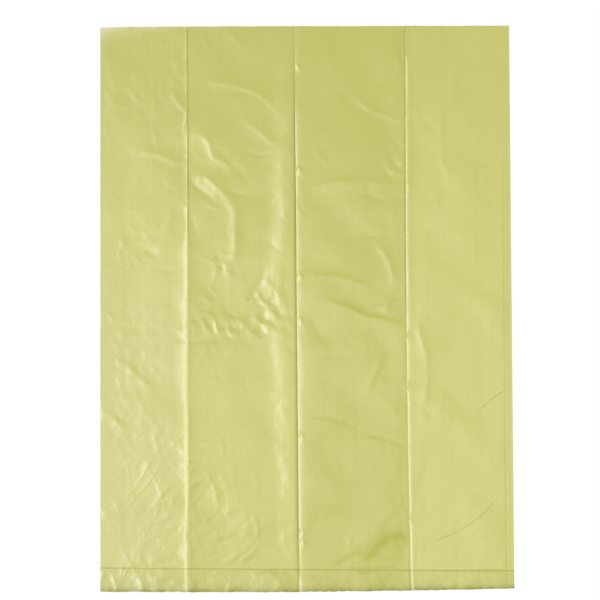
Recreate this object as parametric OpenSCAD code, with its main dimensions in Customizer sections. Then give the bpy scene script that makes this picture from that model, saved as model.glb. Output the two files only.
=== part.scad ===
// Dog waste bag of thin plastic film, torn off its roll, unfolded and laid flat.
// It is one piece of blown film tube: a front and a back wall joined along two side folds,
// open at the mouth and closed by a heat seal a little above the torn lower edge.
// +X runs across the bag, +Y towards the mouth, +Z up from the surface that it lies on.

/* [Bag] */
// Width of the flat bag at its lower edge, from side fold to side fold
bag_w = 230; // [210:1:300]
// Length of the flat bag, from the mouth to the torn lower edge
bag_l = 315; // [200:1:450]
// Thickness of the film
film_t = 0.02; // [0.01:0.005:0.06]
// How much narrower the bag is at the mouth
mouth_narrower = 3; // [0:0.5:8]

/* [Seal] */
// Length of the open skirt between the seal and the torn lower edge, at the left side
skirt_l = 13; // [8:0.5:30]
// Width of the sealed band
seal_w = 0.8; // [0.5:0.1:3]

/* [Creases] */
// Width of the first panel at the mouth, from the left side fold to the raised crease
panel_1_w = 48; // [40:1:60]
// Width of the second panel at the mouth, from the raised crease to the middle crease
panel_2_w = 60; // [50:1:70]
// Width of the third panel at the mouth, from the middle crease to the right crease
panel_3_w = 61; // [50:1:70]
// How far the raised crease drifts to the right on its way to the lower edge
drift_1 = 1; // [0:0.5:4]
// How far the middle crease drifts to the right
drift_2 = 4; // [0:0.5:6]
// How far the right crease drifts to the right
drift_3 = 5; // [0:0.5:8]
// Height to which the raised crease lifts both walls
ridge_h = 3; // [0.5:0.1:6]

/* [Air between the walls] */
// Height to which the front wall bulges over the middle of a panel
air_h = 1.5; // [0.5:0.1:4]
// Height to which it bulges at the torn lower edge
skirt_air_h = 0.7; // [0.2:0.1:2]
// Gap between the walls where they lie on each other, along creases and side folds
closed_gap = 0.06; // [0.02:0.01:0.3]
// Distance from the seal over which the bulge rises
seal_fade = 14; // [5:1:40]

/* [Wrinkles] */
// Distance from a wrinkle's crest over which it falls away
wrinkle_r = 4; // [3:0.5:8]
// Height of the tallest wrinkle above the wall around it
wrinkle_h = 1.2; // [0.2:0.1:3]
// Distance from a crease or side fold over which wrinkles flatten out
pinch_l = 5; // [2:0.5:15]

/* [Torn edges] */
// Depth of the bites along the torn lower edge
tear_d = 0.9; // [0:0.1:2]
// Depth of the bites along the mouth
mouth_tear_d = 0.4; // [0:0.1:2]
// Spacing of the bites
tear_pitch = 13; // [8:1:30]
// How far the mouth runs uphill to the right
mouth_rise = 1; // [0:0.5:4]
// How far the torn lower edge curves uphill to the right
tear_rise = 2.5; // [0:0.5:4]
// How far the seal runs downhill to the right
seal_fall = 1.5; // [0:0.5:3]

/* [Hidden] */

// Columns of each panel of the front wall, as shares of the panel's width, closer together beside its creases
SHARES = [0, 0.04, 0.14, 0.26, 0.38, 0.5, 0.62, 0.74, 0.86, 0.96];
PANELS = 4;
PER_PANEL = len(SHARES);
FRONT_COLS = PANELS * PER_PANEL;
// The back wall is plainer: it has only the columns at the creases and in the middle of each panel
STEP = PER_PANEL / 2;
BACK_COLS = FRONT_COLS / STEP;
// Rows run from the mouth to the seal's upper edge, then to its lower edge, then to the torn lower edge
SEAL_ROW = 53;
SKIRT_ROWS = 4;
ROWS = SEAL_ROW + 1 + SKIRT_ROWS;

// Where the long lines meet the mouth: left side fold, three creases, right side fold
LINES = [
    -bag_w / 2,
    -bag_w / 2 + panel_1_w,
    -bag_w / 2 + panel_1_w + panel_2_w,
    -bag_w / 2 + panel_1_w + panel_2_w + panel_3_w,
    bag_w / 2 - mouth_narrower
];
DRIFTS = [0, drift_1, drift_2, drift_3, mouth_narrower];
RAISED = 1;

// Crests of the larger wrinkles. Each has its panel, then three points as shares of the panel's width
// and of the length from mouth to seal, then its height as a share of the tallest.
WRINKLES = [
    [0, [0.80, 0.12], [0.88, 0.15], [0.94, 0.18], 0.7],
    [0, [0.37, 0.24], [0.64, 0.24], [0.90, 0.26], 0.5],
    [0, [0.90, 0.33], [0.80, 0.35], [0.72, 0.38], 0.5],
    [0, [0.23, 0.39], [0.20, 0.42], [0.26, 0.45], 0.5],
    [0, [0.05, 0.58], [0.30, 0.63], [0.66, 0.67], 0.7],
    [0, [0.06, 0.71], [0.17, 0.73], [0.30, 0.75], 0.6],
    [0, [0.83, 0.84], [0.66, 0.88], [0.52, 0.92], 0.5],
    [1, [0.22, 0.11], [0.50, 0.12], [0.79, 0.16], 0.5],
    [1, [0.08, 0.20], [0.18, 0.23], [0.33, 0.26], 0.8],
    [1, [0.51, 0.18], [0.66, 0.20], [0.79, 0.23], 0.5],
    [1, [0.08, 0.28], [0.24, 0.30], [0.39, 0.35], 1.0],
    [1, [0.39, 0.35], [0.42, 0.40], [0.46, 0.47], 0.9],
    [1, [0.26, 0.43], [0.24, 0.47], [0.28, 0.50], 0.6],
    [1, [0.66, 0.49], [0.79, 0.52], [0.90, 0.55], 0.9],
    [1, [0.58, 0.54], [0.72, 0.56], [0.82, 0.59], 0.6],
    [1, [0.25, 0.57], [0.17, 0.60], [0.08, 0.63], 0.7],
    [1, [0.17, 0.83], [0.26, 0.86], [0.29, 0.90], 0.7],
    [1, [0.64, 0.92], [0.54, 0.96], [0.40, 0.98], 0.5],
    [2, [0.49, 0.12], [0.66, 0.16], [0.92, 0.18], 0.8],
    [2, [0.70, 0.18], [0.60, 0.23], [0.40, 0.28], 0.6],
    [2, [0.11, 0.30], [0.49, 0.29], [0.94, 0.31], 0.6],
    [2, [0.71, 0.40], [0.86, 0.46], [0.78, 0.53], 1.0],
    [2, [0.31, 0.51], [0.58, 0.55], [0.94, 0.57], 1.0],
    [2, [0.78, 0.60], [0.69, 0.64], [0.60, 0.69], 0.6],
    [2, [0.11, 0.72], [0.40, 0.74], [0.74, 0.75], 0.6],
    [2, [0.92, 0.87], [0.71, 0.93], [0.36, 0.98], 0.8],
    [3, [0.44, 0.06], [0.42, 0.10], [0.41, 0.13], 0.4],
    [3, [0.32, 0.16], [0.32, 0.22], [0.38, 0.28], 0.5],
    [3, [0.13, 0.55], [0.20, 0.62], [0.17, 0.70], 0.9],
    [3, [0.95, 0.66], [0.81, 0.69], [0.65, 0.73], 0.4],
    [3, [0.92, 0.86], [0.66, 0.91], [0.26, 0.95], 0.5]
];

function mix(a, b, t) = a + (b - a) * t;
function smooth(t) = let (s = min(max(t, 0), 1)) s * s * (3 - 2 * s);

// Share of the way down the bag at a row
function down(r) = r / ROWS;

// X of long line k at a row, and of a column, which keeps its share of its panel all the way down
function line_x(k, r) = LINES[k] + DRIFTS[k] * down(r);
function panel_of(c) = min(floor(c / PER_PANEL), PANELS - 1);
function share_of(c) = c == FRONT_COLS ? 1 : SHARES[c % PER_PANEL];
function column_x(r, c) = mix(line_x(panel_of(c), r), line_x(panel_of(c) + 1, r), share_of(c));

// The depth of a torn edge's bites, from 0 to 1, is two waves out of step
function bite(x) = (2 + sin(360 * x / tear_pitch) + sin(360 * 2.7 * x / tear_pitch + 40)) / 4;

// Y of the mouth, of the seal's upper edge and of the torn lower edge, above a given x
function mouth_y(x) = bag_l / 2 - mouth_rise * (0.5 - x / bag_w);
function seal_y(x) = skirt_l + seal_w - bag_l / 2 - seal_fall * (0.5 + x / bag_w);
function tear_y(x) = tear_rise * pow(max(0, 0.25 + 1.5 * x / bag_w), 2) - bag_l / 2;

function row_y(r, x) =
    r == 0 ? mouth_y(x) - mouth_tear_d * bite(x) :
    r <= SEAL_ROW ? mix(mouth_y(x), seal_y(x), r / SEAL_ROW) :
    r < ROWS ? mix(seal_y(x) - seal_w, tear_y(x), (r - SEAL_ROW - 1) / SKIRT_ROWS) :
    tear_y(x) + tear_d * bite(x);

// Distance from p to the stretch between a and b
function stretch_gap(p, a, b) =
    let (ab = b - a, t = min(max((p - a) * ab / (ab * ab), 0), 1))
    norm(p - a - t * ab);

// A wrinkle's point in millimetres across its panel and down from the mouth
function wrinkle_point(w, i) = [
    w[i][0] * (LINES[w[0] + 1] - LINES[w[0]]),
    w[i][1] * (bag_l - skirt_l)
];

// Height of the tallest wrinkle over a place p, in millimetres across panel k and down from the mouth
function wrinkle_z(k, p) = wrinkle_h * max([
    0,
    for (w = WRINKLES)
        if (w[0] == k)
            let (
                a = wrinkle_point(w, 1),
                b = wrinkle_point(w, 2),
                c = wrinkle_point(w, 3),
                d = min(stretch_gap(p, a, b), stretch_gap(p, b, c))
            )
            w[4] * exp(-pow(d / wrinkle_r, 2))
]);

// How far the front wall has risen at a share s of the way from a long line to the panel's middle:
// it leaves a sunk crease or a side fold steeply, and the raised crease gently.
function rise(k, s) = k == RAISED ? smooth(s) : 1 - pow(1 - s, 3);
function bulge(k, u) = u < 0.5 ? rise(k, 2 * u) : rise(k + 1, 2 - 2 * u);

// How high the raised crease lifts both walls, falling to nothing in the middle of the panels beside it
function lift(k, u) = ridge_h * (
    k == RAISED - 1 ? max(0, 2 * u - 1) :
    k == RAISED ? max(0, 1 - 2 * u) :
    0
);

// Height of the bulge at a row: it fades at the seal, and swells and sinks a little along the bag
function air(r, k) = r <= SEAL_ROW
    ? let (d = (bag_l - skirt_l) * (1 - r / SEAL_ROW))
      air_h * smooth(d / seal_fade) * (1 + 0.15 * sin(500 * down(r) + 110 * k))
    : skirt_air_h * smooth((r - SEAL_ROW - 1) / SKIRT_ROWS);

// Height of the space between the walls at a row and a column
function space(r, c) =
    let (
        k = panel_of(c),
        u = share_of(c),
        w = LINES[k + 1] - LINES[k],
        d = (bag_l - skirt_l) * r / SEAL_ROW,
        calm = smooth(min(u, 1 - u) * w / pinch_l) * (r > SEAL_ROW ? 0 : smooth((bag_l - skirt_l - d) / pinch_l))
    )
    closed_gap + air(r, k) * bulge(k, u) + calm * wrinkle_z(k, [u * w, d]);

// The bag's outer skin, with the inner skin a film's thickness inside it. Points are kept row by row,
// first the front wall's outside, then the back wall's outside, then both walls' insides.
SPACES = [for (r = [0 : ROWS]) [for (c = [0 : FRONT_COLS]) space(r, c)]];

function back_z(r, c) = lift(panel_of(c), share_of(c));
function front_z(r, c) = back_z(r, c) + 2 * film_t + SPACES[r][c];
function inset(c) = c == 0 ? film_t : c == FRONT_COLS ? -film_t : 0;

POINTS = [
    for (r = [0 : ROWS], c = [0 : FRONT_COLS])
        let (x = column_x(r, c)) [x, row_y(r, x), front_z(r, c)],
    for (r = [0 : ROWS], b = [0 : BACK_COLS])
        let (x = column_x(r, b * STEP)) [x, row_y(r, x), back_z(r, b * STEP)],
    for (r = [0 : ROWS], c = [0 : FRONT_COLS])
        let (x = column_x(r, c)) [x + inset(c), row_y(r, x), front_z(r, c) - film_t],
    for (r = [0 : ROWS], b = [0 : BACK_COLS])
        let (x = column_x(r, b * STEP)) [x + inset(b * STEP), row_y(r, x), back_z(r, b * STEP) + film_t]
];

FRONT_POINTS = (ROWS + 1) * (FRONT_COLS + 1);
BACK_POINTS = (ROWS + 1) * (BACK_COLS + 1);
function front(r, c) = r * (FRONT_COLS + 1) + c;
function back(r, b) = FRONT_POINTS + r * (BACK_COLS + 1) + b;
function front_in(r, c) = FRONT_POINTS + BACK_POINTS + front(r, c);
function back_in(r, b) = FRONT_POINTS + BACK_POINTS + back(r, b);

// A four-sided patch as two triangles, which turn the other way round when flipped
function patch(a, b, c, d, flip = false) = flip ? [[a, c, b], [a, d, c]] : [[a, b, c], [a, c, d]];

// Rows that have a space between the walls: all but the sealed one
OPEN_ROWS = [for (r = [0 : ROWS - 1]) if (r != SEAL_ROW) r];

// A front patch is split along the diagonal whose ends are closer in height, so that crests stay whole
function level(r, c) =
    abs(SPACES[r][c] - SPACES[r + 1][c + 1]) < abs(SPACES[r][c + 1] - SPACES[r + 1][c]);

function front_patch(r, c) = level(r, c)
    ? patch(front(r, c), front(r, c + 1), front(r + 1, c + 1), front(r + 1, c))
    : patch(front(r, c + 1), front(r + 1, c + 1), front(r + 1, c), front(r, c));

function front_in_patch(r, c) = level(r, c)
    ? patch(front_in(r, c), front_in(r, c + 1), front_in(r + 1, c + 1), front_in(r + 1, c), true)
    : patch(front_in(r, c + 1), front_in(r + 1, c + 1), front_in(r + 1, c), front_in(r, c), true);

WALLS = [
    for (r = [0 : ROWS - 1], c = [0 : FRONT_COLS - 1]) each front_patch(r, c),
    for (r = [0 : ROWS - 1], b = [0 : BACK_COLS - 1])
        each patch(back(r, b), back(r, b + 1), back(r + 1, b + 1), back(r + 1, b), true),
    for (r = OPEN_ROWS, c = [0 : FRONT_COLS - 1]) each front_in_patch(r, c),
    for (r = OPEN_ROWS, b = [0 : BACK_COLS - 1])
        each patch(back_in(r, b), back_in(r, b + 1), back_in(r + 1, b + 1), back_in(r + 1, b))
];

SIDE_FOLDS = [
    for (r = [0 : ROWS - 1]) each concat(
        patch(front(r, 0), front(r + 1, 0), back(r + 1, 0), back(r, 0)),
        patch(
            front(r, FRONT_COLS), front(r + 1, FRONT_COLS),
            back(r + 1, BACK_COLS), back(r, BACK_COLS), true
        )
    ),
    for (r = OPEN_ROWS) each concat(
        patch(front_in(r, 0), front_in(r + 1, 0), back_in(r + 1, 0), back_in(r, 0), true),
        patch(
            front_in(r, FRONT_COLS), front_in(r + 1, FRONT_COLS),
            back_in(r + 1, BACK_COLS), back_in(r, BACK_COLS)
        )
    )
];

// The cut edge of the film at an open end: the mouth's, or the torn lower one's turned round
function rim(r, flip) = concat(
    [for (c = [0 : FRONT_COLS - 1]) each
        patch(front(r, c + 1), front(r, c), front_in(r, c), front_in(r, c + 1), flip)],
    [for (b = [0 : BACK_COLS - 1]) each
        patch(back_in(r, b + 1), back_in(r, b), back(r, b), back(r, b + 1), flip)],
    patch(front_in(r, 0), front(r, 0), back(r, 0), back_in(r, 0), flip),
    patch(
        front(r, FRONT_COLS), front_in(r, FRONT_COLS),
        back_in(r, BACK_COLS), back(r, BACK_COLS), flip
    )
);

// Where the seal closes the space at a row, each stretch of the back wall fans out to the front wall's columns
function closure(r, flip) = [
    for (b = [0 : BACK_COLS - 1]) each [
        for (c = [b * STEP : b * STEP + STEP - 1])
            let (f = [front_in(r, c + 1), front_in(r, c)])
            flip ? [f[1], f[0], back_in(r, b)] : [f[0], f[1], back_in(r, b)],
        let (f = front_in(r, (b + 1) * STEP))
            flip ? [f, back_in(r, b + 1), back_in(r, b)] : [f, back_in(r, b), back_in(r, b + 1)]
    ]
];

module bag() {
    color([0.83, 0.82, 0.53])
        polyhedron(
            points = POINTS,
            faces = concat(
                WALLS,
                SIDE_FOLDS,
                rim(0, false),
                rim(ROWS, true),
                closure(SEAL_ROW, false),
                closure(SEAL_ROW + 1, true)
            ),
            convexity = 8
        );
}

bag();
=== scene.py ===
import math

import bpy
import numpy as np
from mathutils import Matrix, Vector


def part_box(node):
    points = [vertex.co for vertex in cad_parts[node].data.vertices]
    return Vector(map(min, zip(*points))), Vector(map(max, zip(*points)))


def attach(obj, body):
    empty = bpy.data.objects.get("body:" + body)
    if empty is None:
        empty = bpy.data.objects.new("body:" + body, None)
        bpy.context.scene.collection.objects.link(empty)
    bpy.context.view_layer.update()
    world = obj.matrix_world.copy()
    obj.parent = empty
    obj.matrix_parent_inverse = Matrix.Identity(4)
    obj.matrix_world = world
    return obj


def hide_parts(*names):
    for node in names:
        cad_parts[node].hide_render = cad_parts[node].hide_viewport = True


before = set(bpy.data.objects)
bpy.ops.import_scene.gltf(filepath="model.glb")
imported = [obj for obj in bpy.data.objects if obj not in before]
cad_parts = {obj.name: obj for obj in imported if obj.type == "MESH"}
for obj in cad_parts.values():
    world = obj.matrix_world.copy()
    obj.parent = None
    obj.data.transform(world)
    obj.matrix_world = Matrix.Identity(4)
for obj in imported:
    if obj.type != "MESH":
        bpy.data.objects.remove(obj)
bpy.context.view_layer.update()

# Camera. The photograph looks straight down at the bag, which fills nearly all of its square picture,
# and its middle lies a little to the left of the bag's own middle and nearer the mouth.
view_side = 0.3333
view_middle = (-0.0041, 0.0049)
lens_mm = 100
sensor_mm = 36
camera_data = bpy.data.cameras.new("camera")
camera_data.lens = lens_mm
camera_data.sensor_width = sensor_mm
camera = bpy.data.objects.new("camera", camera_data)
camera.location = (*view_middle, view_side * lens_mm / sensor_mm)
bpy.context.scene.collection.objects.link(camera)
bpy.context.scene.camera = camera
bpy.context.scene.view_settings.view_transform = "Standard"

# The bag, one length of blown polyethylene tube laid flat. Both its ends are torn off along a
# perforation, and a heat seal a finger's width above the lower end closes the bag's bottom.
# All its sizes are in millimetres: x runs across it and y towards the mouth.
cad_box_low, cad_box_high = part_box("bag")
bag_width = (cad_box_high[0] - cad_box_low[0]) * 1000
bag_length = (cad_box_high[1] - cad_box_low[1]) * 1000
film_thickness = 0.02
closed_gap = 0.06
skirt_length = 13.0
seal_width = 0.8
seal_fall = 1.5
mouth_rise = 1.0
mouth_narrower = 3.0
torn_rise = 2.0
mouth_bite_depth = 0.3
torn_bite_depth = 0.6
torn_bites_moved = 40

# The long lines of the bag where they meet the mouth, from left to right: side fold, raised crease,
# middle crease, right crease, side fold. All but the first drift to the right on the way down to the
# torn edge, the right crease mostly in its lower half.
long_lines = np.array([-bag_width / 2, -67.1, -7.3, 54.5, bag_width / 2 - mouth_narrower])
long_drifts = np.array([0.0, 1.6, 2.8, 3.3, mouth_narrower])
drift_powers = np.array([1.0, 1.0, 1.0, 2.8, 1.0])
raised, middle_crease, right_crease = 1, 2, 3


def mouth_y(x):
    """The mouth is a straight line that rises a little from left to right."""
    return bag_length / 2 - mouth_rise * (0.5 - x / bag_width)


def seal_y(x):
    """The seal's upper edge is a straight line that falls a little from left to right."""
    return skirt_length + seal_width - bag_length / 2 - seal_fall * (0.5 + x / bag_width)


def torn_y(x):
    """The torn edge is level on the left. From a sixth of the width left of the middle it curves up to
    the right, with the square of the way from there."""
    return torn_rise * np.maximum(0, 0.25 + 1.5 * x / bag_width) ** 2 - bag_length / 2


def crowded(count, crowding):
    """count steps from 0 to 1, closer together where the crowding is larger: equal parts of its running
    total."""
    fine = np.linspace(0, 1, 4001)
    total = np.concatenate(([0.0], np.cumsum(crowding((fine[1:] + fine[:-1]) / 2))))
    return np.interp(np.linspace(0, total[-1], count + 1), total, fine)


def beside_lines(width):
    """Crowding across a panel: 1 in its middle and 6 at its two lines, dying away over 1.3 mm."""
    return lambda share: 1 + 5 * (np.exp(-share * width / 1.3) + np.exp((share - 1) * width / 1.3))


def down_the_bag(share):
    """Crowding from mouth to seal: 1, with a bell of 0.35 where the film is most crumpled, and 1.5 more
    at the seal."""
    return 1 + 0.35 * np.exp(-(((share - 0.42) / 0.22) ** 2)) + 1.5 * np.exp((share - 1) / 0.012)


# The grid of points on the front wall: columns in each panel, and rows above and below the seal
panel_columns = [50, 78, 72, 60]
body_rows = 308
skirt_rows = 16
column_panel, column_share = [], []
for panel, count in enumerate(panel_columns):
    shares = crowded(count, beside_lines(long_lines[panel + 1] - long_lines[panel]))[:-1]
    column_panel.append(np.full(count, panel))
    column_share.append(shares)
column_panel = np.concatenate(column_panel + [[len(panel_columns) - 1]])
column_share = np.concatenate(column_share + [[1.0]])
body_share = crowded(body_rows, down_the_bag)
skirt_share = np.linspace(0, 1, skirt_rows + 1)
seal_row = len(body_share) - 1
last_row = seal_row + len(skirt_share)
last_column = len(column_share) - 1

# Row by row, the share of the way down the bag, and the x of each long line and of every point
body_down = body_share * (1 - skirt_length / bag_length)
skirt_down = 1 + (skirt_share - 1) * skirt_length / bag_length
down = np.concatenate((body_down, skirt_down))
line_x = long_lines + long_drifts * down[:, None] ** drift_powers
film_x = line_x[:, column_panel] * (1 - column_share) + line_x[:, column_panel + 1] * column_share


def bites(x, depth):
    """Bites left by a torn perforation: the depth times 0.55 of a run of uneven arches between the ties,
    0.3 of a slow sine and 0.15 of a quick one."""
    arches = np.abs(np.sin(np.pi * x / 5.2 + 0.6 * np.sin(x / 9.0)))
    slow = 0.3 * (1 + np.sin(x / 3.1)) / 2
    quick = 0.15 * (1 + np.sin(x / 0.9)) / 2
    return depth * (0.55 * (1 - arches) + slow + quick)


def film_rows(x):
    """Y of every point: each row keeps its share of the way from the mouth to the seal's upper edge, or
    from the seal's lower edge to the torn edge. The first and the last row are bitten, out of step."""
    share = body_share[:, None]
    body = mouth_y(x[: seal_row + 1]) * (1 - share) + seal_y(x[: seal_row + 1]) * share
    share = skirt_share[:, None]
    skirt = (seal_y(x[seal_row + 1 :]) - seal_width) * (1 - share) + torn_y(x[seal_row + 1 :]) * share
    y = np.concatenate((body, skirt))
    y[0] -= bites(x[0], mouth_bite_depth)
    y[-1] += bites(x[-1] + torn_bites_moved, torn_bite_depth)
    return y


film_y = film_rows(film_x)


def ease(t):
    """0 below 0, 1 above 1, and a smooth step between: 3 t^2 - 2 t^3."""
    t = np.clip(t, 0, 1)
    return t * t * (3 - 2 * t)


def sides(distance, left, right):
    """exp(-distance / reach), with one reach on the left of a line and another on its right."""
    return np.exp(-np.abs(distance) / np.where(distance < 0, left, right))


def bells(rows, reach):
    """Bell curves along the bag, added up: exp(-((y - row) / reach)^2) for each of the rows."""
    return sum(np.exp(-(((film_y - row) / reach) ** 2)) for row in rows)


# How far each point lies from the long lines and from the seal
from_left = film_x - line_x[:, [0]]
from_right = line_x[:, [4]] - film_x
from_raised = film_x - line_x[:, [raised]]
from_middle = film_x - line_x[:, [middle_crease]]
from_right_crease = film_x - line_x[:, [right_crease]]
from_seal = np.abs(film_y - seal_y(film_x) + seal_width / 2)

# Both walls together. The bag was folded in half and in half again before it was rolled up, which left
# one crease standing up and two that touch the table, with the panels a little clear of it between.
clear_height = 0.55
left_rise_run = 45
right_rise_run = 60
third_panel_drop = 0.35
third_panel_run = 50
in_third_panel = column_panel == middle_crease
clear_of_table = clear_height * ease(from_left / left_rise_run) * ease(from_right / right_rise_run)
clear_of_table = clear_of_table - third_panel_drop * ease(from_middle / third_panel_run) * in_third_panel

# The two grooves are shallower where they meet the mouth, and the right one is filled at three places
middle_groove_reaches = (0.6, 2.0)
right_groove_reaches = (0.8, 1.5)
filled_rows = (-15, -43, -116)
filled_reach = 2.5
at_mouth = ease((film_y - 100) / 18)
middle_groove = (1 - 0.6 * at_mouth) * sides(from_middle, *middle_groove_reaches)
open_groove = (1 - 0.8 * bells(filled_rows, filled_reach)) * (1 - 0.7 * ease((film_y - 137) / 4))
right_groove = open_groove * sides(from_right_crease, *right_groove_reaches)

# The raised crease is a fine ridge in the upper part of the bag and a broad one in the lower part, and
# knots pinch it down
upper_ridge = 0.25
upper_ridge_reaches = (1.2, 0.8)
lower_ridge = 0.66
lower_ridge_right_reach = 5.5
back_share_of_ridge = 0.4
knot_rows = (88, 59, -17.5, -83)
knot_reach = 1.6
knots = 1 - 0.75 * bells(knot_rows, knot_reach)
lower_part = ease((50 - film_y) / 18)
ridge = (upper_ridge - 0.1 * at_mouth) * (1 - lower_part) * sides(from_raised, *upper_ridge_reaches)
lower_ridge_left_reach = 2.5 - 0.9 * ease((-90 - film_y) / 25)
broad_ridge = sides(from_raised, lower_ridge_left_reach, lower_ridge_right_reach)
ridge = ridge + lower_ridge * lower_part * broad_ridge
lift = clear_of_table * (1 - middle_groove) * (1 - right_groove) + back_share_of_ridge * ridge

# The front wall stands off the back wall by a little air, and less of it near the seal and in the skirt
body_air = 0.8
body_air_run = 90
skirt_air = 0.3
skirt_air_run = 8
in_skirt = film_y < seal_y(film_x)
air_run = np.where(in_skirt, skirt_air_run, body_air_run)
air = np.where(in_skirt, skirt_air, body_air) * ease(from_seal / air_run) ** 0.6
air = air * ease(from_left / 60) * ease(from_right / 120)

# The film rises to a shelf on the left of the middle crease, highest above the crumpled place
shelf_height = 0.76
shelf_crown = 0.5
shelf_slope = 12
shelf_edge = -16 - 4 * bells([8], 30) + 3.5 * ease((-60 - film_y) / 50)
shelf_rise = ease((film_x - shelf_edge + shelf_slope / 2) / shelf_slope)
shelf = (shelf_height + shelf_crown * bells([45], 22)) * ease((150 - film_y) / 45) * ease((film_y + 150) / 30)
shelf = shelf * shelf_rise * (1 - sides(from_middle, 0.5, 1.0)) * (from_middle < 0)

# The corner of the mouth stands open a little on the left
lip_height = 0.9
lip_depth = 5.0
lip_width = 22
lip = lip_height * np.exp((film_y - mouth_y(film_x)) / lip_depth) * np.exp(-from_left / lip_width)

# Gentle waves of the front wall: a sum of plane waves of many lengths and directions, a little bent
wave_steepness = 0.0017
wave_lengths = np.linspace(16, 62, 14)
random = np.random.default_rng(20)
waves = np.zeros_like(film_x)
for length in wave_lengths:
    turn = random.uniform(0, 2 * np.pi)
    start = random.uniform(0, 2 * np.pi)
    along = film_x * np.cos(turn) + film_y * np.sin(turn) + 5 * np.sin((film_y - film_x) / 27 + start)
    waves += wave_steepness * length * np.sin(2 * np.pi * along / length + start)

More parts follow.
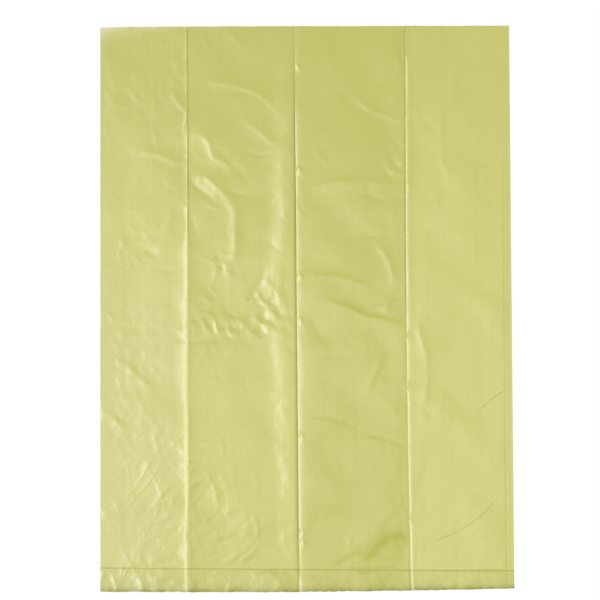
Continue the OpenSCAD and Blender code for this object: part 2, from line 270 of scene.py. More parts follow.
# Wrinkles of the front wall, from handling and from being squeezed in the roll. Each has a height
# over the wall, negative for a dent, the reach over which it falls away on its side to the lower left
# and on its other side, and points along it. The points follow its steeper flank, which shows most.
lower_left = np.array([-0.96, -0.27])
wrinkles = [
    # First panel
    (0.36, 0.9, 2.0, [(-75.5, 121.4), (-73.3, 115.8), (-70.5, 111.9), (-68, 109.2), (-68, 100.3)]),
    (0.18, 0.8, 0.8, [(-98.9, 121.4), (-96.1, 117.5), (-92.2, 114.2)]),
    (0.10, 0.8, 0.8, [(-95.5, 109.2), (-93.3, 106.9), (-91.1, 105.3)]),
    (0.15, 0.8, 0.9, [(-85.5, 99.2), (-84.4, 93.6), (-82.2, 89.2)]),
    (0.30, 1.0, 2.4, [(-94.4, 86.4), (-84.4, 85.3), (-77.8, 82.5), (-71.7, 80.8)]),
    (0.12, 1.0, 1.0, [(-84.4, 148.6), (-81.7, 147.5), (-78.9, 145.8)]),
    (0.28, 1.2, 1.5, [(-75.5, 55.8), (-77.2, 50.3), (-79.4, 43.6)]),
    (-0.22, 0.9, 1.4, [(-67.8, 56.4), (-71.1, 53.1), (-74.4, 49.2)]),
    (-0.14, 0.8, 1.0, [(-95, 36.9), (-91.1, 33.6), (-84.4, 30.3)]),
    (-0.12, 0.8, 1.0, [(-93.9, 32.5), (-88.9, 30.8), (-83.9, 28.1)]),
    (-0.12, 0.7, 0.8, [(-90.5, 44.7), (-87.8, 41.9), (-85.5, 38.1)]),
    (0.25, 0.9, 1.0, [(-103.9, 39.2), (-103.3, 35.8), (-105, 30.3), (-104.4, 25.8), (-101.1, 23.6)]),
    (-0.10, 1.0, 1.0, [(-110.5, 38.1), (-111.1, 32.5), (-110, 25.8)]),
    (-0.14, 0.6, 0.9, [(-85.5, 21.9), (-79.4, 21.4), (-73.3, 20.3)]),
    (-0.28, 1.0, 1.6, [(-112.8, 5.8), (-111.1, 1.9), (-109.4, -1.9)]),
    (0.22, 0.8, 1.0, [(-111.1, -3.1), (-109.4, -5.3), (-107.8, -7.5)]),
    (-0.15, 0.8, 1.0, [(-113.3, -9.7), (-110.5, -10.8), (-107.8, -10.8)]),
    (-0.14, 0.8, 1.2, [(-93.9, -15.3), (-93.6, -23.1), (-93.3, -30.8)]),
    (0.32, 1.8, 1.6, [
        (-110, -21.9), (-105.5, -27.5), (-97.8, -31.9),
        (-95.5, -35.3), (-90, -39.7), (-84.4, -45.3),
    ]),
    (-0.25, 1.4, 2.0, [(-113.3, -18.6), (-110, -28.6), (-111.7, -39.7), (-112.8, -48.1)]),
    (0.12, 0.6, 0.6, [(-101.1, -34.2), (-97.8, -35.3), (-94.4, -34.7)]),
    (0.32, 2.2, 1.6, [(-114.4, -55.3), (-103.3, -63), (-95.5, -68.6)]),
    (-0.20, 1.4, 1.4, [(-106.1, -59.7), (-100.5, -66.4), (-97.8, -74.2)]),
    (0.15, 0.8, 0.9, [(-91.7, -53.1), (-92.8, -58.6), (-93.9, -64.2)]),
    (0.25, 0.8, 0.9, [(-84.4, -66.4), (-85, -71.9), (-83.9, -76.4), (-83.3, -81.4)]),
    (-0.12, 0.7, 0.7, [(-80.5, -63), (-80, -66.4), (-80, -69.7)]),
    (0.10, 0.8, 0.7, [(-85.5, -81.9), (-87.8, -85.8), (-90.5, -90.8)]),
    (0.12, 0.9, 0.8, [(-78.3, -91.9), (-80.5, -95.3), (-82.8, -99.7)]),
    (0.16, 0.8, 0.7, [(-76.1, -95.3), (-80, -101.4), (-84.4, -108.6), (-88.9, -115.3)]),
    (0.12, 0.7, 0.7, [(-96.1, -117.5), (-97.8, -119.7), (-99.4, -121.9)]),
    (0.10, 1.0, 1.0, [(-107.8, -99.7), (-106.1, -106.4), (-106.7, -113)]),
    (0.28, 0.9, 0.8, [(-91.7, -130.3), (-91.9, -135.3), (-91.7, -141.4)]),
    (0.28, 0.9, 0.8, [(-91.7, -146.9), (-91.7, -150.8), (-91.1, -155.3)]),
    (0.22, 1.2, 1.0, [(-78.9, -135.3), (-82.2, -138), (-85.5, -141.9)]),
    (-0.18, 0.8, 0.8, [(-77.8, -138), (-78.9, -140.3), (-80, -143)]),
    (0.28, 1.0, 0.9, [(-85.5, -152.5), (-81.7, -149.2), (-76.7, -148.6)]),
    (-0.20, 0.8, 0.9, [(-83.9, -155.3), (-79.4, -152.5), (-75.5, -151.4)]),
    (-0.25, 1.2, 1.2, [(-100.5, -146.4), (-101.7, -151.4), (-100.5, -155.8)]),
    (0.15, 1.0, 1.0, [(-108.9, -146.9), (-107.8, -150.8), (-107.2, -154.7)]),
    # Second panel
    (0.18, 1.2, 1.5, [(-45, 152.5), (-40.6, 149.2), (-36.7, 144.7)]),
    (0.38, 1.15, 3.0, [
        (-55.5, 124.7), (-47.2, 124.7), (-38.9, 123),
        (-28.9, 119.2), (-22.8, 114.7), (-18.9, 110.3),
    ]),
    (0.10, 1.2, 1.2, [(-65, 110.3), (-51.1, 111.4), (-41.1, 113)]),
    (0.28, 1.0, 2.6, [(-35, 103.6), (-25.6, 96.9), (-18.9, 90.3)]),
    (0.40, 1.3, 3.0, [
        (-64.4, 95.3), (-60, 95.8), (-55.5, 91.4),
        (-52.8, 83.6), (-46.7, 80.3), (-42.5, 76.5),
    ]),
    (-0.22, 2.2, 2.4, [(-51.7, 89.2), (-45, 81.4), (-38.3, 74.7), (-34.4, 69.7)]),
    (0.54, 2.0, 4.0, [(-62.2, 72.5), (-56.7, 71.4), (-51.1, 66.9), (-45.6, 60.8), (-41.7, 53.6)]),
    (0.75, 2.6, 3.0, [(-42.2, 59.5), (-41.7, 46.9), (-41.7, 33.6), (-43.3, 25.9)]),
    (0.26, 1.2, 1.6, [(-43.3, 27.9), (-45.8, 22.5), (-43.9, 18.6), (-37.8, 14.7)]),
    (-0.50, 1.8, 2.2, [(-65.5, 71.4), (-63.3, 67.5), (-58.3, 63.6), (-52.8, 60.3)]),
    (-0.30, 1.4, 1.8, [(-45, 65.8), (-39.4, 63), (-32.8, 61.4)]),
    (-0.22, 1.0, 1.5, [(-64.4, 50.3), (-63.3, 45.3), (-62.2, 40.3)]),
    (0.28, 1.3, 1.0, [(-53.1, 28.1), (-49.7, 23.1), (-51.1, 16.9), (-53.1, 11.9), (-49.7, 8.1)]),
    (-0.28, 1.0, 1.2, [(-51.7, 29.7), (-48.9, 25.3), (-47.2, 21.4)]),
    (-0.42, 1.8, 2.0, [(-24.4, 23.6), (-27.5, 14.2), (-32.8, 5.8), (-34.4, 0.3)]),
    (0.45, 1.0, 0.8, [(-27.8, 9.7), (-24.4, 4.7), (-18.9, 0.8)]),
    (0.25, 0.8, 0.7, [(-19.4, -0.8), (-17.8, -2.5), (-16.1, -4.7)]),
    (0.20, 0.8, 0.8, [(-17.2, 12.5), (-16.7, 8.6), (-16.1, 4.2)]),
    (0.18, 0.8, 0.8, [(-12.8, 5.8), (-12.2, 2.5), (-13.3, -1.4)]),
    (-0.20, 1.0, 1.0, [(-12.8, 15.3), (-13.3, 11.9), (-14.4, 9.2)]),
    (0.20, 1.2, 1.0, [(-22.8, 16.9), (-21.1, 14.2), (-18.3, 12.5)]),
    (0.28, 1.2, 1.8, [(-28.3, -6.4), (-25, -9.2), (-20.6, -10.3), (-16.7, -15.8)]),
    (-0.32, 1.0, 1.2, [(-31.1, -6.9), (-27.8, -9.7), (-24.4, -14.2)]),
    (0.28, 0.8, 0.7, [(-59.4, -4.7), (-56.7, -8.1), (-55, -11.9)]),
    (-0.22, 0.8, 0.8, [(-53.3, -6.9), (-52.8, -10.3), (-52.5, -13.6)]),
    (0.20, 1.2, 0.8, [(-50.6, -6.9), (-49.4, -9.7), (-48.9, -13.1)]),
    (0.25, 0.8, 0.8, [(-45.6, -9.7), (-43.9, -12.5), (-41.7, -15.8)]),
    (-0.22, 0.8, 0.8, [(-46.1, -6.9), (-45.6, -9.7), (-45.6, -12.5)]),
    (-0.28, 0.7, 0.9, [(-42.8, -3.1), (-40.6, -4.7), (-38.3, -5.8)]),
    (0.28, 1.0, 0.9, [(-37.2, -8.1), (-33.3, -9.7), (-30, -13.1)]),
    (-0.22, 0.7, 0.7, [(-37.8, -8.6), (-38.1, -10.8), (-38.3, -13.6)]),
    (-0.26, 0.8, 1.0, [(-51.1, -15.3), (-43.9, -15.8), (-36.7, -16.9)]),
    (0.18, 1.0, 1.0, [(-41.1, -18.6), (-41.7, -21.9), (-42.8, -25.3)]),
    (0.32, 1.4, 1.4, [(-51.1, -18.6), (-55.5, -21.9), (-59.4, -26.4), (-62.2, -30.8)]),
    (0.28, 1.8, 1.8, [(-61.1, 8.6), (-56.7, 4.7), (-52.8, 0.3)]),
    (0.12, 1.0, 1.0, [(-61.1, -79.7), (-56.7, -75.3), (-50, -71.9)]),
    (0.22, 0.8, 0.8, [(-48.9, -73), (-47.2, -77.5), (-47.2, -82.5)]),
    (0.30, 0.9, 0.8, [(-57.2, -87.5), (-53.9, -94.2), (-50, -103), (-48.9, -110.3)]),
    (-0.15, 0.7, 0.8, [(-55.5, -87.5), (-51.1, -94.2), (-47.8, -100.8), (-45.6, -107.5)]),
    (0.20, 2.2, 0.8, [(-60, -116.4), (-54.4, -115.3), (-48.9, -111.9)]),
    (-0.28, 0.8, 1.2, [(-55.5, -119.7), (-50, -117.5), (-44.4, -114.2)]),
    (-0.22, 0.7, 1.0, [(-52.2, -130.8), (-45, -128), (-35.6, -125.3)]),
    (0.42, 1.6, 1.2, [(-44.4, -141.9), (-40.6, -138.6), (-36.7, -135.3), (-31.7, -131.9)]),
    (0.28, 0.8, 0.7, [(-30.6, -111.9), (-28.3, -117.5), (-27.2, -123), (-26.1, -129.7)]),
    (0.28, 1.4, 1.2, [(-26.1, -130.8), (-30, -135.3), (-35, -138.6), (-38.3, -140.3)]),
    (0.25, 1.0, 1.0, [(-41.7, -148), (-43.3, -151.9), (-44.4, -155.3)]),
    (0.12, 1.0, 1.0, [(-35, -85.3), (-31.7, -88.6), (-29.4, -93), (-28.3, -100.8)]),
    (0.15, 0.9, 0.9, [(-25, -79.7), (-23.9, -75.3), (-19.4, -73.6), (-16.7, -76.4)]),
    (0.25, 1.2, 1.0, [(-12.8, -145.3), (-14.4, -149.7), (-15.6, -154.2)]),
    # Third panel
    (0.15, 1.2, 1.5, [(-6.7, 138), (-3.3, 146.9), (4.4, 153.6)]),
    (0.12, 1.4, 1.4, [(6.7, 135.8), (16.7, 140.3), (26.7, 144.7), (35.6, 150.3)]),
    (0.15, 1.2, 1.2, [(41.1, 151.4), (45.6, 147.5), (50, 142.5)]),
    (0.40, 1.5, 1.2, [(51.1, 141.9), (51.4, 136.9), (51.7, 131.9)]),
    (0.45, 1.1, 1.6, [(23.3, 119.2), (31.1, 112.5), (37.8, 108.6), (50, 104.2)]),
    (0.28, 2.2, 2.6, [(38.9, 102.5), (33.3, 92.5), (26.7, 84.7), (17.2, 74.2)]),
    (-0.15, 0.8, 1.0, [(38.9, 99.2), (46.1, 94.7), (52.2, 88.6)]),
    (0.35, 1.4, 1.6, [(42.2, 85.8), (44.4, 78), (53.3, 72.5)]),
    (-0.28, 1.4, 1.4, [(48.3, 84.7), (47.8, 80.3), (51.1, 76.4)]),
    (0.40, 0.9, 0.9, [(49.4, 80.8), (52.8, 81.9), (55.5, 82.5)]),
    (0.40, 4.0, 1.8, [(1.1, 67.5), (18.9, 70.8), (37.8, 70.8), (54.4, 69.2)]),
    (0.15, 1.2, 1.4, [(2.2, 89.2), (6.1, 84.7), (10, 80.3)]),
    (-0.30, 1.6, 2.0, [(30.6, 63.6), (38.3, 60.3), (46.1, 58)]),
    (-0.18, 0.9, 1.2, [(30.6, 40.3), (34.4, 40.3), (38.9, 40.3)]),
    (0.15, 1.2, 1.2, [(32.2, 43.6), (37.8, 44.2), (43.3, 43.1)]),
    (0.50, 1.4, 1.8, [(37.8, 35.8), (42.8, 29.2), (46.1, 20.3), (46.1, 13.6)]),
    (0.38, 1.2, 1.4, [(45, 5.8), (43.9, 1.9), (42.8, -2.5)]),
    (0.22, 3.0, 1.0, [(-0.6, 19.2), (8.9, 19.2), (18.3, 18.1), (35, 13.1)]),
    (0.45, 4.0, 1.2, [(10.6, 5.3), (22.8, 1.4), (32.8, -3.6), (41.7, -5.3), (51.7, -8.1)]),
    (-0.25, 1.6, 2.4, [(1.7, -5.3), (5, -13.1), (10.6, -20.8)]),
    (-0.12, 0.8, 0.8, [(2.8, -26.4), (11.7, -26.4), (19.4, -25.8)]),
    (0.50, 1.4, 1.6, [(40.6, -25.8), (37.2, -34.2), (31.7, -45.8)]),
    (0.42, 3.0, 1.0, [(-1.7, -61.9), (12.8, -62.5), (25, -66.9)]),
    (-0.30, 0.8, 1.2, [(20.6, -74.7), (28.3, -71.9), (35, -70.3), (45, -73), (56.1, -78)]),
    (0.35, 4.0, 4.0, [(48.3, -106.4), (40.6, -116.4), (33.9, -125.3), (23.9, -131.9)]),
    (-0.14, 0.6, 0.8, [(5, -110.8), (5.3, -116.4), (5, -122.5)]),
    (0.25, 1.2, 1.0, [(25, -126.4), (24.4, -129.2), (23.3, -132.5)]),
    (0.20, 1.2, 1.0, [(53.9, -111.9), (55, -115.3), (55.5, -119.7)]),
    (0.15, 1.0, 1.0, [(51.7, -102.5), (51.1, -105.8), (50.6, -109.7)]),
    # Fourth panel
    (0.32, 2.4, 2.4, [(82, 139.5), (81, 133), (79.5, 125), (79, 117)]),
    (0.32, 1.0, 1.0, [(74, 109.5), (73.5, 100.5), (74, 90.5), (74.5, 81.5), (77, 76), (77.5, 71.5)]),
    (0.18, 1.0, 1.0, [(87, 127.5), (89.5, 130.5), (92, 134)]),
    (-0.20, 1.0, 1.2, [(93, 78.5), (94, 71.5), (95, 65)]),
    (0.50, 1.3, 1.2, [(62.5, -6.5), (63, -13), (65, -20), (67, -26.5), (67, -34.5)]),
    (0.45, 1.3, 1.2, [(68, -35.5), (67.5, -40), (66.5, -45.5), (65.5, -54.5)]),
]


def smooth_route(points, shift, steps=6):
    """A curve through given points: cubic between neighbours, with slopes from the points on either
    side. It is then moved by the shift, away from the lower left, where it runs across that way."""
    spots = np.array(points, float)
    slopes = np.gradient(spots, axis=0)
    t = np.linspace(0, 1, steps, endpoint=False)[:, None, None]
    run = (2 * t**3 - 3 * t**2 + 1) * spots[:-1] + (t**3 - 2 * t**2 + t) * slopes[:-1]
    run = run + (3 * t**2 - 2 * t**3) * spots[1:] + (t**3 - t**2) * slopes[1:]
    route = np.concatenate((run.transpose(1, 0, 2).reshape(-1, 2), spots[-1:]))
    way = np.gradient(route, axis=0)
    sideways = np.stack((-way[:, 1], way[:, 0]), axis=1) / np.linalg.norm(way, axis=1)[:, None]
    facing = np.clip(2 * sideways @ lower_left, -1, 1)
    return route - shift * facing[:, None] * sideways


def crest(height, near_reach, far_reach, points):
    """A wrinkle's height over every point: height * exp(-distance / reach) from its crest, rounded at the
    very top, and tapering to nothing at both ends. The near reach holds on the side to the lower left.
    Past five reaches it is left out."""
    route = smooth_route(points, 0.6 * near_reach if near_reach <= far_reach else -0.6 * far_reach)
    edge = 5 * max(near_reach, far_reach)
    near = (
        (film_x > route[:, 0].min() - edge)
        & (film_x < route[:, 0].max() + edge)
        & (film_y > route[:, 1].min() - edge)
        & (film_y < route[:, 1].max() + edge)
    )
    spot = np.stack((film_x[near], film_y[near]), axis=-1)[:, None]
    start, step = route[:-1], np.diff(route, axis=0)
    length = np.linalg.norm(step, axis=-1)
    away = spot - start
    along = np.clip((away * step).sum(axis=-1) / length**2, 0, 1)
    gap = np.linalg.norm(away - along[..., None] * step, axis=-1)
    closest = gap.argmin(axis=1)
    pick = np.arange(len(spot))
    distance = gap[pick, closest]
    share = (closest + along[pick, closest]) / len(step)
    taper = np.sqrt(np.clip(np.sin(np.pi * np.clip(share, 0.02, 0.98)), 0, 1))
    sideways = np.stack((-step[:, 1], step[:, 0]), axis=1) / length[:, None]
    facing = np.clip(2 * sideways @ lower_left, -1, 1)[closest]
    beside = (away[pick, closest] * sideways[closest]).sum(axis=-1)
    near_share = 0.5 + 0.5 * np.tanh(beside / 0.6) * facing
    reach = far_reach + (near_reach - far_reach) * near_share
    round_top = 0.3 * reach
    out = np.zeros_like(film_x)
    out[near] = height * taper * np.exp((round_top - np.sqrt(distance**2 + round_top**2)) / reach)
    return out


relief = sum(crest(*wrinkle) for wrinkle in wrinkles)

# Small wrinkles all over, which the photograph shows as a faint restless grain
small_count = 520
small_height_spread = 0.085
small_near_reach = 0.6
small_far_reach = 0.8
small_x = random.uniform(-113, 113, small_count)
small_y = random.uniform(-142, 156, small_count)
small_middle = np.stack((small_x, small_y), axis=1)
small_turn = random.uniform(0, np.pi, small_count)
small_half = random.uniform(2, 9, small_count)
small_height = random.normal(0, small_height_spread, small_count)
for middle, turn, half, small in zip(small_middle, small_turn, small_half, small_height):
    reach = half * np.array([np.cos(turn), np.sin(turn)])
    bend = 0.25 * np.array([-reach[1], reach[0]])
    points = [middle - reach, middle + bend, middle + reach]
    relief = relief + crest(small, small_near_reach, small_far_reach, points)

# Kinks where wrinkles run out on the middle crease: short ridges that lean down to the right from it
kink_rows = (133.6, 77, 18, -6.4, -70.8, -124, -129)
kink_height = 0.4
kink_reach = 0.7
for y in kink_rows:
    x = long_lines[middle_crease] + long_drifts[middle_crease] * (0.5 - y / bag_length) + 0.8
    kink = [(x - 0.4, y + 1.5), (x + 1.0, y), (x + 2.0, y - 2.0)]
    relief = relief + crest(kink_height, kink_reach, kink_reach, kink)


def folded(turn, length, start):
    """A zigzag across one direction, from 0 to 1 and back over a length, its fold lines bent by two sines."""
    along = film_x * np.cos(turn) + film_y * np.sin(turn)
    along = along + 2.4 * np.sin(film_x / 8 + 5 * start) + 2.4 * np.cos(film_y / 7)
    along = along / length + start
    return 2 * np.abs(along - np.floor(along + 0.5))


def around(spots):
    """Bell-shaped spots added up: amount * exp(-(dx / across)^2 - (dy / along)^2). Each spot has its x and y,
    its reach across and along the bag, and its amount."""
    return sum(
        amount * np.exp(-(((film_x - x) / across) ** 2) - ((film_y - y) / along) ** 2)
        for x, y, across, along, amount in spots
    )


# How restless the film is at a point: calm near the mouth and at the lower right, and crumpled where the
# packed roll was squeezed and in the skirt. Three zigzags across different directions crumple it, and
# each has its direction, the length of a fold and its start.
crumpled_spots = [
    (-42, -10, 22, 8, 0.4),
    (-22, 0, 12, 12, 0.4),
    (-98, 35, 12, 16, 0.12),
    (-100, -30, 14, 30, 0.15),
    (-42, 18, 9, 10, 0.15),
    (-14, -80, 5, 60, 0.05),
    (-45, -125, 30, 24, 0.12),
    (-92, -135, 20, 20, 0.1),
]
on_skirt = (np.arange(last_row + 1) > seal_row)[:, None] * np.ones_like(film_x)
crumple = 0.04 + around(crumpled_spots) + 0.11 * on_skirt
fold_height = 0.48
folds = [(0.35, 7.5, 0.1), (1.2, 10.0, 0.4), (-0.6, 8.5, 0.7)]
fold_relief = sum(folded(*fold) for fold in folds) - len(folds) / 2
relief = relief + fold_height * np.minimum(crumple, 1) * fold_relief

# All of that dies out at the two grooves, the side folds and the seal, and the waves do so from further
# away. The raised crease flattens the wrinkles that cross it.
calm_run = 1.2
wave_run = 10
from_grooves = np.minimum(np.abs(from_middle), np.abs(from_right_crease))
from_lines = np.minimum(from_grooves, np.minimum(from_left, from_right))
calm = ease(from_lines / calm_run) * ease(from_seal / 2)
relief = relief * (0.4 + 0.6 * ease(np.abs(from_raised) / 2.5))
waves = waves * ease(from_lines / wave_run) * (1 - 0.4 * ease(-from_raised / wave_run))
front_ridge = (0.6 + 0.4 * lower_part) * ridge * knots
stand_off = closed_gap + air + shelf + front_ridge + (relief + waves) * calm + lip

# The skin of the film as one closed mesh. The front wall's outside has all the points. The back wall's
# outside and the insides of both walls, a film's thickness in, keep only some of its rows and columns.
column_step = 5
row_step = 4
kept_column = np.arange(0, last_column + 1, column_step)
body_kept = np.arange(row_step, seal_row + 1, row_step)
skirt_kept = np.arange(seal_row + 1, last_row + 1, row_step)
kept_row = np.concatenate(([0, 1, 2], body_kept, skirt_kept))
kept = np.ix_(kept_row, kept_column)


def between_kept(values):
    """The back wall's height at every point of the front: straight lines between the kept points."""
    rows = [np.interp(film_x[r], film_x[r, kept_column], values[r, kept_column]) for r in kept_row]
    columns = [np.interp(down, down[kept_row], column) for column in np.stack(rows).T]
    return np.stack(columns, axis=1)


def lowest_around(values, kept_index):
    """The lowest of the values at and around each kept row, as far as the kept rows on either side."""
    spans = np.minimum(np.minimum.reduceat(values, kept_index[:-1]), values[kept_index[1:]])
    return np.minimum(np.concatenate((spans[:1], spans)), np.concatenate((spans, spans[-1:])))


back_top = between_kept(lift)
stand_off = np.maximum(lift + stand_off - back_top, closed_gap)
inner_stand = lowest_around(lowest_around(stand_off, kept_row).T, kept_column).T
inset = np.zeros(last_column + 1)
inset[0], inset[-1] = film_thickness, -film_thickness
inner_x = (film_x + inset)[kept]


def sheet_points(x, y, z):
    """A grid of points, row by row, in metres."""
    return np.stack((x, y, z), axis=-1).reshape(-1, 3) / 1000


skins = [
    sheet_points(film_x, film_y, back_top + 2 * film_thickness + stand_off),
    sheet_points(film_x[kept], film_y[kept], lift[kept]),
    sheet_points(inner_x, film_y[kept], lift[kept] + film_thickness + inner_stand),
    sheet_points(inner_x, film_y[kept], lift[kept] + film_thickness),
]
starts = np.cumsum([0] + [len(skin) for skin in skins])
front = starts[0] + np.arange(film_x.size).reshape(film_x.shape)
back, front_in, back_in = (starts[k] + np.arange(inner_x.size).reshape(inner_x.shape) for k in (1, 2, 3))


def faces_between(a, b, flip=False):
    """Four-sided faces between two lines of points, facing right of the way from a to b seen from above."""
    quads = np.stack((a[:-1], a[1:], b[1:], b[:-1]), axis=-1)
    return quads[:, ::-1] if flip else quads


def wall(grid, flip, left_out=()):
    """The faces of a wall, row by row, but for the rows left out."""
    rows = [r for r in range(len(grid) - 1) if r not in left_out]
    return np.concatenate([faces_between(grid[r + 1], grid[r], flip) for r in rows])


def rim(fine, coarse, kept_index, flip):
    """Triangles between a line of all points and a line of kept points: each short step of the first
    fans from the kept point before it, and each long step closes up to the next."""
    owner = np.searchsorted(kept_index, np.arange(len(fine) - 1), side="right") - 1
    fans = np.stack((fine[:-1], fine[1:], coarse[owner]), axis=-1)
    ends = np.stack((fine[kept_index[1:]], coarse[1:], coarse[:-1]), axis=-1)
    triangles = np.concatenate((fans, ends))
    return triangles[:, ::-1] if flip else triangles


# The two inner skins stop at the seal's edges and are closed there. Rims join them to the outer ones at
# the mouth and at the torn edge, and join the outer ones to each other along both side folds.
seal_kept = int(np.searchsorted(kept_row, seal_row))
above = slice(0, seal_kept + 1)
below = slice(seal_kept + 1, None)
quads = np.concatenate(
    [
        wall(front, False),
        wall(back, True),
        wall(front_in, True, [seal_kept]),
        wall(back_in, False, [seal_kept]),
        faces_between(front_in[above, 0], back_in[above, 0]),
        faces_between(front_in[above, -1], back_in[above, -1], True),
        faces_between(front_in[below, 0], back_in[below, 0]),
        faces_between(front_in[below, -1], back_in[below, -1], True),
        faces_between(front_in[seal_kept], back_in[seal_kept]),
        faces_between(front_in[seal_kept + 1], back_in[seal_kept + 1], True),
        faces_between(back_in[0], back[0]),
        faces_between(back_in[-1], back[-1], True),
        np.array([[front[0, 0], front_in[0, 0], back_in[0, 0], back[0, 0]]]),
        np.array([[front[0, -1], back[0, -1], back_in[0, -1], front_in[0, -1]]]),
        np.array([[front[-1, 0], back[-1, 0], back_in[-1, 0], front_in[-1, 0]]]),
        np.array([[front[-1, -1], front_in[-1, -1], back_in[-1, -1], back[-1, -1]]]),
    ]
)
triangles = np.concatenate(
    [
        rim(front[:, 0], back[:, 0], kept_row, True),
        rim(front[:, -1], back[:, -1], kept_row, False),
        rim(front[0], front_in[0], kept_column, False),
        rim(front[-1], front_in[-1], kept_column, True),
    ]
)
film_mesh = bpy.data.meshes.new("bag_film")
film_mesh.from_pydata(np.concatenate(skins).tolist(), [], quads.tolist() + triangles.tolist())
film_mesh.polygons.foreach_set("use_smooth", np.ones(len(film_mesh.polygons), bool))
film_mesh.set_sharp_from_angle(angle=math.radians(50))
bag_film = bpy.data.objects.new("bag_film", film_mesh)
bpy.context.scene.collection.objects.link(bag_film)


def film_attribute(name, values):
    """Stores a value for each point of the front, repeated at the kept points of the other skins."""
    layer = film_mesh.attributes.new(name, "FLOAT", "POINT")
    parts = [values, values[kept], values[kept], values[kept]]
    layer.data.foreach_set("value", np.concatenate([part.ravel() for part in parts]).astype(np.float32))


def line_at(distance, half_width):
    """1 on a line and 0 beyond half_width from it, as a straight slope."""
    return np.maximum(0, 1 - np.abs(distance) / half_width)


# What the film's finish needs to know at each point: how crumpled it is, whether it is in the skirt, and
# how near the torn edge
film_attribute("crumple", crumple)
film_attribute("skirt", on_skirt)
film_attribute("torn", np.minimum(1, 1.6 * np.exp((torn_y(film_x) - film_y) / 1.5)))

# Painted shade: the film is darkened in thin lines beside the three creases and, below the mouth, by the
# right fold, where shade falls in the folds
middle_crease_shade = 0.15 * line_at(from_middle + 0.4, 0.6)
right_crease_shade = 0.9 * line_at(from_right_crease + 0.4, 0.55) * ease((film_y + 30) / 40)
raised_crease_shade = line_at(from_raised - 0.5, 0.6) * (1 - lower_part)
edge_lines = line_at(from_right - 4.3, 0.5) + line_at(from_right - 2.0, 0.5)
edge_line_shade = 0.35 * edge_lines * ease((120 - film_y) / 60)
film_attribute("dark_marks", middle_crease_shade + right_crease_shade + raised_crease_shade + edge_line_shade)

# A painted highlight: the film is paler along the mouth on the left and in the corner there, where the
# lifted lip catches the light
below_mouth = mouth_y(film_x) - film_y
glare_edge = 0.8 * np.exp(-below_mouth / 2.0 - from_left / 35)
glare_corner = 0.5 * np.exp(-(from_left**2 + below_mouth**2) / 64)
film_attribute("mouth_glare", glare_edge + glare_corner)

# Fine creases cover it in the lower left, in the crumpled place and in the skirt
lined_spots = [
    (-88, -100, 30, 48, 1.0),
    (-45, -118, 25, 28, 0.9),
    (-98, 30, 14, 18, 0.6),
    (-45, 0, 22, 14, 0.6),
]
film_attribute("lined", 0.1 + around(lined_spots) + 0.5 * on_skirt)

# The film's colour is darker along a few folds
dark_fold_routes = [
    (1.5, 2.2, 2.2, [
        (55.5, -129), (50, -127.5), (44, -127.5),
        (38.5, -131), (33, -136.5), (29.5, -140.5),
    ]),
    (0.8, 0.9, 0.9, [(32, -135), (25, -136), (18, -140), (14, -142)]),
    (0.5, 1.2, 1.2, [(12, 4), (23, 1), (33, -3.5), (42, -5.5), (52, -7.5)]),
    (0.3, 1.0, 1.0, [(0, 19), (10, 19), (20, 18), (35, 13.5)]),
]
film_attribute("dark_folds", sum(crest(*fold) for fold in dark_fold_routes))


class Shade:
    """A socket of a shader that Python's operators work on: each operation adds its Math node."""

    def __init__(self, tree, socket):
        self.tree, self.socket = tree, socket

    def node(self, kind, sockets=(), output=0, **settings):
        """Adds a node: its settings first, then the values or links of its sockets, and hands back one
        output."""
        made = self.tree.nodes.new(kind)
        for name, value in settings.items():
            setattr(made, name, value)
        for name, value in dict(sockets).items():
            if isinstance(value, Shade):
                self.tree.links.new(value.socket, made.inputs[name])
            else:
                made.inputs[name].default_value = value
        return Shade(self.tree, made.outputs[output] if made.outputs else None)

    def math(self, operation, *values):
        """A Math node's outcome for one or two values."""
        return self.node("ShaderNodeMath", dict(enumerate(values)), operation=operation)

    def vector(self, operation, first, second):
        """A Vector Math node's outcome; a plain number as the second value is its scale."""
        sockets = {0: first, "Scale": second} if operation == "SCALE" else {0: first, 1: second}
        return self.node("ShaderNodeVectorMath", sockets, operation=operation)

    def __add__(self, other):
        return self.math("ADD", self, other)

    def __sub__(self, other):
        return self.math("SUBTRACT", self, other)

    def __rsub__(self, other):
        return self.math("SUBTRACT", other, self)

    def __mul__(self, other):
        return self.math("MULTIPLY", self, other)

    __radd__ = __add__
    __rmul__ = __mul__

    def clamped(self):
        """The value held between 0 and 1."""
        return self.node("ShaderNodeClamp", {0: self})

    def mix(self, first, second):
        """The first colour where this value is 0, and the second where it is 1."""
        return self.node("ShaderNodeMix", {0: self, 6: first, 7: second}, 2, data_type="RGBA")


def material(name):
    """An empty node material, and a Shade to start expressions from."""
    made = bpy.data.materials.new(name)
    made.use_nodes = True
    made.node_tree.nodes.clear()
    return made, Shade(made.node_tree, None)


def srgb(red, green, blue):
    """A colour given as 0 to 255 on a screen, as the linear light that a shader takes."""
    screen = np.array([red, green, blue]) / 255
    linear = np.where(screen <= 0.04045, screen / 12.92, ((screen + 0.055) / 1.055) ** 2.4)
    return (*linear.tolist(), 1)


film, shade = material("film")
place = shade.node("ShaderNodeTexCoord", output=3)
x_at = shade.node("ShaderNodeSeparateXYZ", {0: place}, 0)
y_at = shade.node("ShaderNodeSeparateXYZ", {0: place}, 1)


def stored(name):
    """A value that film_attribute has stored."""
    return shade.node("ShaderNodeAttribute", output=2, attribute_name=name)


def noise(where, scale, detail, output=0):
    """A noise texture's value from 0 to 1, or its colour as the output 1."""
    return shade.node("ShaderNodeTexNoise", {"Vector": where, "Scale": scale, "Detail": detail}, output)


def cell_edges(where, scale):
    """How far a point lies from the edge of its cell in a cell pattern, 0 on the edge."""
    sockets = {"Vector": where, "Scale": scale}
    return shade.node("ShaderNodeTexVoronoi", sockets, feature="DISTANCE_TO_EDGE")


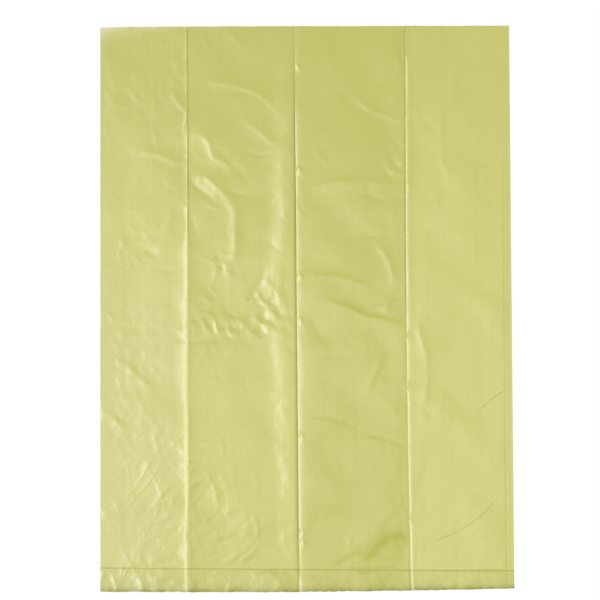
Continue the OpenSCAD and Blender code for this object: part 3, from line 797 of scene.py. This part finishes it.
def thin_fall(value, width):
    """1 where a value is 0, falling straight to 0 where it reaches width."""
    return shade.math("MAXIMUM", 1 - value * (1 / width), 0.0)


def thin_line(distance, half_width):
    """1 on a line and 0 beyond half_width from it, as a straight slope, for a distance in the same units."""
    return thin_fall(shade.math("ABSOLUTE", distance), half_width)


def beside_line(line, offset):
    """Distance in metres from a long line moved aside by offset millimetres."""
    middle_x = long_lines[line] + long_drifts[line] / 2 + offset
    return x_at - middle_x / 1000 + y_at * (long_drifts[line] / bag_length)


def arc(middle, radius, left, right, half):
    """A thin line along the upper (1) or lower (-1) half of a circle, in millimetres, between two x, with
    soft ends."""
    across = x_at - middle[0] / 1000
    along = y_at - middle[1] / 1000
    distance = shade.math("SQRT", across * across + along * along) - radius / 1000
    ends = shade.math("MINIMUM", (x_at - left / 1000) * 200, (right / 1000 - x_at) * 200)
    ends = shade.math("MINIMUM", ends, along * 1000 * half)
    return thin_line(distance, 0.0004) * ends.clamped()


# Where the film's colour changes: along the seal and in two long scratches; and where painted sheen and
# painted shade lie: near the mouth and in its panels
seal_middle = float(seal_y(0) - seal_width / 2)
seal_line = thin_line(y_at - seal_middle / 1000 + x_at * (seal_fall / bag_width), 0.0006)
near_mouth = ((y_at - 0.045) * 9).clamped()
low_down = ((y_at + 0.045) * -30).clamped()
right_of_middle = (beside_line(middle_crease, 2) * 400).clamped()
third_panel = right_of_middle * (beside_line(right_crease, -2) * -400).clamped()
fourth_panel = (beside_line(right_crease, 2) * 400).clamped()
first_low = (beside_line(raised, -3) * -200).clamped() * ((y_at - 0.045) * -20).clamped()
to_the_right = (x_at * 4 + 0.5).clamped()
lower_scratch = arc((55.4, -67.9), 62.4, 69, 110, -1)
upper_scratch = arc((140, -97.5), 60.4, 92, 112, 1)
scratches = lower_scratch + upper_scratch

# The film's colour: a yellow green that varies in soft clouds and in fine streaks along the tube, with
# painted sheen, shade and highlight laid over it
cloud = noise(place, 14, 3)
# Patches that break up the painted crease shade and the dark marks at the torn edge
dark_marks = noise(place, 90, 3)
stretched = shade.node("ShaderNodeMapping", {"Vector": place, "Scale": (170, 9, 1)})
streak = noise(stretched, 1, 3)
tint = cloud.mix(srgb(202, 200, 104), srgb(207, 204, 113))
# Painted shade and painted sheen: darker in the third panel, most of all low down, and near the mouth; paler
# low in the first panel, towards the right and in the fourth panel
tint = (third_panel * (low_down * 0.5 + 0.2)).mix(tint, srgb(191, 190, 82))
tint = (first_low * 0.6).mix(tint, srgb(202, 200, 116))
tint = (near_mouth * 0.95).mix(tint, srgb(192, 192, 92))
tint = (to_the_right * 0.6).mix(tint, srgb(204, 202, 104))
tint = (fourth_panel * (1 - near_mouth * 0.6) * 0.8).mix(tint, srgb(216, 213, 123))
tint = (streak * 0.4).mix(tint, srgb(190, 189, 88))
tint = (stored("skirt") * 0.25).mix(tint, srgb(186, 185, 88))
tint = (stored("dark_folds") * 0.9).mix(tint, srgb(180, 178, 38))
tint = seal_line.mix(tint, srgb(164, 166, 20))
# The painted highlight along the mouth's left end
tint = (stored("mouth_glare") * 0.8).mix(tint, srgb(218, 217, 176))
tint = (scratches * 0.4).mix(tint, srgb(172, 170, 66))
# Painted shade in thin lines beside the creases, broken into patches
tint = (stored("dark_marks") * dark_marks * 1.2).mix(tint, srgb(150, 153, 50))
tint = (stored("torn") * (dark_marks * 2.6 - 0.3)).mix(tint, srgb(150, 150, 30))

# Its finest relief, too fine for the mesh: fine creases that run in three directions, the edges of small
# facets where it is crumpled, a faint grain, the streaks, and the scratches as grooves
patchy = noise(place, 45, 2)
bent = shade.vector("ADD", place, shade.vector("SCALE", noise(place, 60, 2, 1), 0.012))
crease_length = 0.06
crease_width = 0.06
fine_creases = []
for turn, apart in ((-38, 0.011), (20, 0.014), (-68, 0.013)):
    tilted = shade.node(
        "ShaderNodeMapping",
        {"Vector": place, "Rotation": (0, 0, math.radians(turn)), "Scale": (apart, crease_length, 1)},
        vector_type="TEXTURE",
    )
    creases = thin_line(noise(tilted, 1, 1) - 0.5, crease_width) * stored("lined") * patchy
    fine_creases.append(creases)
fine_creases = fine_creases[0] + fine_creases[1] + fine_creases[2]
facet_creases = thin_fall(cell_edges(bent, 75), 0.12) * (stored("crumple") * 1.5 + 0.1) * patchy
crinkle = cell_edges(bent, 230) * stored("crumple")
grain = noise(place, 900, 3)
height = fine_creases * 0.42 + facet_creases * 0.8 + crinkle * 0.9
height = height + grain * 0.03 + streak * 0.5 - scratches * 0.5
bump = shade.node("ShaderNodeBump", {"Height": height, "Strength": 0.4, "Distance": 0.0006})
roughness = 0.25 + noise(place, 300, 4) * 0.05
surface = shade.node(
    "ShaderNodeBsdfPrincipled",
    {"Base Color": tint, "Roughness": roughness, "Normal": bump, "Specular IOR Level": 1.0},
)
shade.node("ShaderNodeOutputMaterial", {"Surface": surface})
film_mesh.materials.append(film)

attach(bag_film, "root")
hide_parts("bag")

# The table. A plain white top that the bag lies flat on, wide enough that no edge of it shows. To the
# camera it glows nearly white, and it keeps a little of the bag's shadow.
table_half = 3.0
table_mesh = bpy.data.meshes.new("table")
table_x = (-table_half, table_half, table_half, -table_half)
table_y = (-table_half, -table_half, table_half, table_half)
table_mesh.from_pydata([(x, y, 0) for x, y in zip(table_x, table_y)], [], [(0, 1, 2, 3)])
table = bpy.data.objects.new("table", table_mesh)
bpy.context.scene.collection.objects.link(table)
table_white, shade = material("table_white")
diffuse = shade.node("ShaderNodeBsdfDiffuse", {"Color": (0.9, 0.9, 0.9, 1)})
glow = shade.node("ShaderNodeEmission", {"Color": (1, 1, 1, 1), "Strength": 1.04})
camera_ray = shade.node("ShaderNodeLightPath", output=0)
surface = shade.node("ShaderNodeMixShader", {0: camera_ray * 0.8, 1: diffuse, 2: glow})
shade.node("ShaderNodeOutputMaterial", {"Surface": surface})
table_mesh.materials.append(table_white)

# Light. A long softbox high on the left gives the film its bright flanks, a smaller one overhead gives
# it a faint sheen, and an even white surround gives most of the light. Each softbox has its place, its
# sides and the brightness of its face.
softboxes = [
    ("key_light", (-3.0, -0.8, 6.0), (6.4, 2.3), 4.8),
    ("top_light", (-0.15, -0.35, 3.3), (1.5, 0.9), 1.15),
]
for name, spot, (wide, deep), brightness in softboxes:
    lamp_data = bpy.data.lights.new(name, "AREA")
    lamp_data.shape = "RECTANGLE"
    lamp_data.size = wide
    lamp_data.size_y = deep
    lamp_data.energy = brightness * math.pi * wide * deep
    lamp = bpy.data.objects.new(name, lamp_data)
    lamp.location = spot
    lamp.rotation_euler = lamp.location.to_track_quat("Z", "Y").to_euler()
    bpy.context.scene.collection.objects.link(lamp)

# The surround lights the bag with a little over half of its white, and looks quite white to the camera
world = bpy.data.worlds.new("surround")
world.use_nodes = True
world.node_tree.nodes.clear()
shade = Shade(world.node_tree, None)
lighting = shade.node("ShaderNodeBackground", {"Color": (1, 1, 1, 1), "Strength": 0.57})
backdrop = shade.node("ShaderNodeBackground", {"Color": (1, 1, 1, 1), "Strength": 1})
camera_ray = shade.node("ShaderNodeLightPath", output=0)
seen = shade.node("ShaderNodeMixShader", {0: camera_ray, 1: lighting, 2: backdrop})
shade.node("ShaderNodeOutputWorld", {"Surface": seen})
bpy.context.scene.world = world
